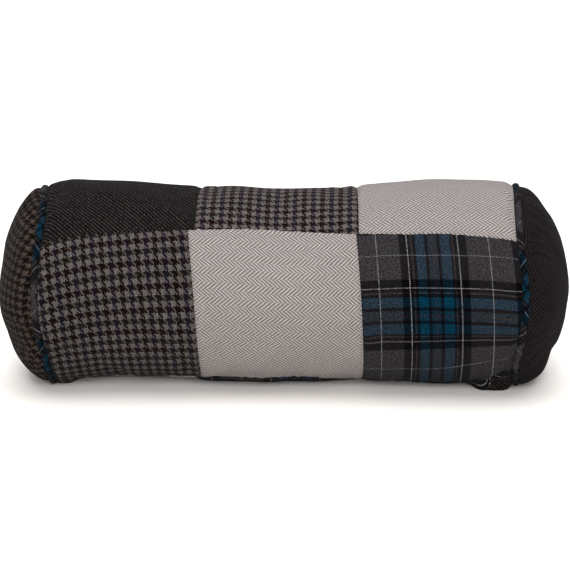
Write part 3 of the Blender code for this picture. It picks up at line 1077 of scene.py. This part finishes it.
def charcoal_cloth():
    """A dark twill with a fleck of grey in the weft, duller and brighter by turns."""
    graph, place, a, b = start_cloth("charcoal_twill", CHARCOAL_THREADS)
    weave = twill(graph, a, b, 1.0)
    colour = graph.blend(weave.warp_up, CHARCOAL_WEFT, CHARCOAL_WARP)
    turns = graph.grey(graph.pick(weave.warp % 2.0, *CHARCOAL_WARPS))
    colour = graph.blend(1.0, colour, turns, "MULTIPLY")
    return finish_cloth(graph, place, weave, colour, CHARCOAL_YARN)


def corded_cloth():
    """The charcoal end panel: near black, with a thin dotted line of grey in every second warp."""
    graph, place, a, b = start_cloth("charcoal_corded", CHARCOAL_THREADS)
    weave = twill(graph, a, b, 1.0)
    dots = graph.pick(weave.warp % 2.0, weave.warp_up, 0.0)
    colour = graph.blend(dots, CORDED_GROUND, CORDED_DOTS)
    return finish_cloth(graph, place, weave, colour, CORDED_YARN)


def puppytooth_cloth(name, tone):
    """A small check of four dark and four light threads; the dark ones change colour in turn. Its
    tone scales every colour: painted shade on the end panel's copy, painted light on the top patch's.
    """
    graph, place, a, b = start_cloth(name, PUPPYTOOTH_THREADS)
    weave = twill(graph, a + PUPPYTOOTH_START[0], b + PUPPYTOOTH_START[1], 1.0)
    colours = (PALE_YARN, OLIVE_BLACK, NAVY, MAROON, OLIVE, FLECK)
    light, olive_black, navy, maroon, olive, fleck = (toned(colour, tone) for colour in colours)
    warp_dark = graph.blend((weave.warp % (2 * CHECK)) < CHECK - 0.5, olive_black, navy)
    weft_dark = graph.blend((weave.weft % (2 * CHECK)) < CHECK - 0.5, maroon, olive)
    warp_light = (weave.warp % CHECK) > CHECK / 2 - 0.5
    weft_light = (weave.weft % CHECK) > CHECK / 2 - 0.5
    # Light yarn crossing dark yarn is dimmed: partly dark yarn showing through, partly painted shade
    mixed_and_shaded = graph.math("ABSOLUTE", warp_light - weft_light)
    light = graph.blend(mixed_and_shaded, light, toned(light, MIXED_AND_SHADED_TONE))
    warp = graph.blend(warp_light, warp_dark, light)
    weft = graph.blend(weft_light, weft_dark, light)
    colour = graph.blend(weave.warp_up, weft, warp)
    flecked = graph.random(weave.warp + FLECK_OFFSET, weave.weft + FLECK_OFFSET) > FLECK_ABOVE
    colour = graph.blend(flecked * FLECK_SHARE, colour, fleck)
    return finish_cloth(graph, place, weave, colour, PUPPYTOOTH_YARN)


def herringbone_cloth():
    """A light twill whose lines turn back at every band of threads, with a clean break there."""
    graph, place, a, b = start_cloth("light_herringbone", HERRINGBONE_THREADS)
    turned = (b / HERRINGBONE_BAND).floor() % 2.0
    weave = twill(graph, a - turned, b, 1.0 - turned * 2.0)
    colour = graph.blend(weave.warp_up, HERRINGBONE_WEFT, HERRINGBONE_WARP)
    return finish_cloth(graph, place, weave, colour, HERRINGBONE_YARN)


TARTAN_THREADS = (0.00046, 0.00052)
TARTAN_STEPS = 114.0
TARTAN_ACROSS = 0.1073
TARTAN_DOWN = 0.1130
GREY, INK, BROWN = rgb(44, 42, 44), rgb(4, 3, 5), rgb(38, 31, 30)
TEAL, SLATE = rgb(1, 41, 58), rgb(13, 31, 42)
THIN, BOLD, SOFT = "thin line", "bold line", "soft line"
WARP_LINES = {THIN: rgb(124, 123, 122), BOLD: rgb(138, 136, 134), SOFT: rgb(108, 106, 106)}
WEFT_LINES = {THIN: rgb(92, 93, 95), BOLD: rgb(110, 110, 110), SOFT: rgb(77, 76, 77)}

# What counts as ink and as plain yarn, and how far yarn that crosses ink is darkened: partly ink
# showing through it, partly painted shade
INK_LIGHT = 0.005
PLAIN_LIGHT = 0.05
INK_AND_SHADE_SHARE = 0.5

# The stripes of the tartan, by the step where each starts on a sett of TARTAN_STEPS
TARTAN = (
    (0.0, THIN), (0.8, GREY), (23.4, INK), (30.8, BOLD), (31.8, INK), (34.8, BROWN), (36.6, INK),
    (39.8, TEAL), (49.4, INK), (52.3, SLATE), (56.8, BROWN), (58.4, SLATE), (61.7, INK),
    (65.0, TEAL), (74.9, INK), (76.6, BROWN), (78.5, INK), (82.3, SOFT), (83.3, INK), (91.5, GREY),
)


def woven_tartan(graph, place, u, v, sett_down, warp_lines):
    """The tartan, laid so that a point is u across its warp stripes and v down its weft stripes. Ink
    yarn darkens what crosses it, other than the pale lines: partly ink showing through, partly
    painted shade."""
    weave = twill(graph, u / TARTAN_THREADS[0], v / TARTAN_THREADS[1], 1.0)
    warp = graph.stripes(u, TARTAN_ACROSS, warp_lines)
    weft = graph.stripes(v, sett_down, WEFT_LINES)
    colour = graph.blend(weave.warp_up, weft, warp)
    under = graph.brightness(graph.blend(weave.warp_up, warp, weft))
    # Yarn crossing ink is darkened: partly ink showing through, partly painted shade
    inked_and_shaded = (under < INK_LIGHT) * (graph.brightness(colour) < PLAIN_LIGHT)
    colour = graph.blend(inked_and_shaded * INK_AND_SHADE_SHARE, colour, INK)
    return finish_cloth(graph, place, weave, colour, TARTAN_YARN)


def tartan_cloth():
    """Grey, teal and ink tartan with thin pale lines."""
    graph = Graph("teal_tartan")
    u, v = graph.place()
    return woven_tartan(graph, (u, v), u, v, TARTAN_DOWN, WARP_LINES)


# How much each piping strip is stretched, and where its two sets of stripes start along the ring
Strip = namedtuple("Strip", "stretch warp_start weft_start")
STRIPS = {-1: Strip(0.95, 0.0364, 0.0045), 1: Strip(0.985, 0.0757, 0.0857)}


def piping_cloth(end):
    """The same tartan cut on the bias, so that its stripes cross the cord at a slant."""
    graph = Graph(f"bias_tartan_{end.name}")
    s, t = graph.place()
    strip = STRIPS[end.side]
    slant = math.sqrt(0.5) / strip.stretch
    u = (s + t - strip.warp_start) * slant
    v = (s - t - strip.weft_start) * slant
    return woven_tartan(graph, (s, t), u, v, TARTAN_ACROSS, WEFT_LINES)


# What makes each cloth of the cover. The left end panel's puppytooth is darkened all over with
# painted shade, and the top patch's puppytooth is lightened all over with painted light.
CLOTHS = (
    (charcoal_cloth,),
    (puppytooth_cloth, "puppytooth_check", (1.0, 1.0, 1.0)),
    (herringbone_cloth,),
    (tartan_cloth,),
    (corded_cloth,),
    # painted shade: the left end panel's puppytooth, darker all over
    (puppytooth_cloth, "puppytooth_dim", (0.54, 0.46, 0.40)),
    # painted light: the top patch's puppytooth, lighter all over
    (puppytooth_cloth, "puppytooth_bright", (1.30, 1.26, 1.29)),
)


# Stage


def direction(azimuth, elevation):
    """The direction of a place seen from the cushion: how far round from its front, and how high."""
    a, e = math.radians(azimuth), math.radians(elevation)
    return Vector((math.sin(a) * math.cos(e), -math.cos(a) * math.cos(e), math.sin(e)))


def set_up(obj, place, target):
    """Places a camera or a lamp, and turns it towards its target."""
    obj.location = place
    obj.rotation_euler = (Vector(target) - place).to_track_quat("-Z", "Y").to_euler()
    bpy.context.collection.objects.link(obj)


def make_camera():
    """The camera at the photo's angle and framing."""
    data = bpy.data.cameras.new("camera")
    data.lens = CAMERA_LENS
    data.sensor_width = CAMERA_SENSOR
    camera = bpy.data.objects.new("camera", data)
    back = direction(CAMERA_AZIMUTH, CAMERA_ELEVATION) * CAMERA_DISTANCE
    set_up(camera, Vector(CAMERA_TARGET) + back, CAMERA_TARGET)
    bpy.context.scene.camera = camera


# Each lamp is so far away that it lights everything evenly: spread is how wide it looks, in degrees
Lamp = namedtuple("Lamp", "name azimuth elevation spread strength colour")
LAMPS = (
    Lamp("overhead", 0.0, 82.0, 60.0, 3.4, (0.99, 0.99, 1.0)),
    Lamp("front", 0.0, 26.0, 40.0, 3.3, (1.0, 0.985, 0.98)),
    Lamp("behind", 180.0, 35.0, 60.0, 1.2, (1.0, 1.0, 1.0)),
)
WORLD_STRENGTH = 0.07
WHITE = (1.0, 1.0, 1.0, 1.0)
FLOOR_HALF = 6.0
FLOOR_DROP = 0.0004
FLOOR_TONES = ((0.80, 0.775, 0.745, 1.0), (0.82, 0.795, 0.765, 1.0))
FLOOR_ROUGHNESS = 0.9


def make_lights():
    """Broad soft lamps above, in front and behind, and a faint white surround."""
    for lamp in LAMPS:
        data = bpy.data.lights.new(lamp.name, "SUN")
        data.angle = math.radians(lamp.spread)
        data.energy = lamp.strength
        data.color = lamp.colour
        light = bpy.data.objects.new(lamp.name, data)
        set_up(light, direction(lamp.azimuth, lamp.elevation), (0.0, 0.0, 0.0))
    world = bpy.data.worlds.new("studio")
    world.use_nodes = True
    background = world.node_tree.nodes["Background"]
    background.inputs["Color"].default_value = WHITE
    background.inputs["Strength"].default_value = WORLD_STRENGTH
    bpy.context.scene.world = world
    bpy.context.scene.view_settings.view_transform = "Standard"


def make_floor():
    """A plain pale floor."""
    graph = Graph("pale_floor")
    grain = graph.noise(graph.node("ShaderNodeTexCoord", {}).outputs["Object"], FLOOR_NOISE)
    graph.feed(graph.shader.inputs["Base Color"], graph.blend(grain, *FLOOR_TONES))
    graph.shader.inputs["Roughness"].default_value = FLOOR_ROUGHNESS
    signs = ((-1, -1), (1, -1), (1, 1), (-1, 1))
    corners = [(x * FLOOR_HALF, y * FLOOR_HALF, -FLOOR_DROP) for x, y in signs]
    floor = add_object("floor", corners, [(0, 1, 2, 3)], [graph.material])


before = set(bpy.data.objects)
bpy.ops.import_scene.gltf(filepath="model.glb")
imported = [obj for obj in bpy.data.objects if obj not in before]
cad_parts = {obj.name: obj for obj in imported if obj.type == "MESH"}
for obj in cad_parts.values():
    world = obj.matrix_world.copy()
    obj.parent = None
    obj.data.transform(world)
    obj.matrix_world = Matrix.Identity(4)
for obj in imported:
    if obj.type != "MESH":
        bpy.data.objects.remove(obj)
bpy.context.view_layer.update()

make_camera()
make_lights()
make_floor()

cover_shape = cover_grid()
cover_shape = puffed(cover_shape)
cover = make_cover(cover_shape)
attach(cover, "root")
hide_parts("cushion")

for end in (LEFT_END, RIGHT_END):
    piping = make_piping(end)
    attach(piping, "root")
    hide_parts(f"piping_{end.name}")
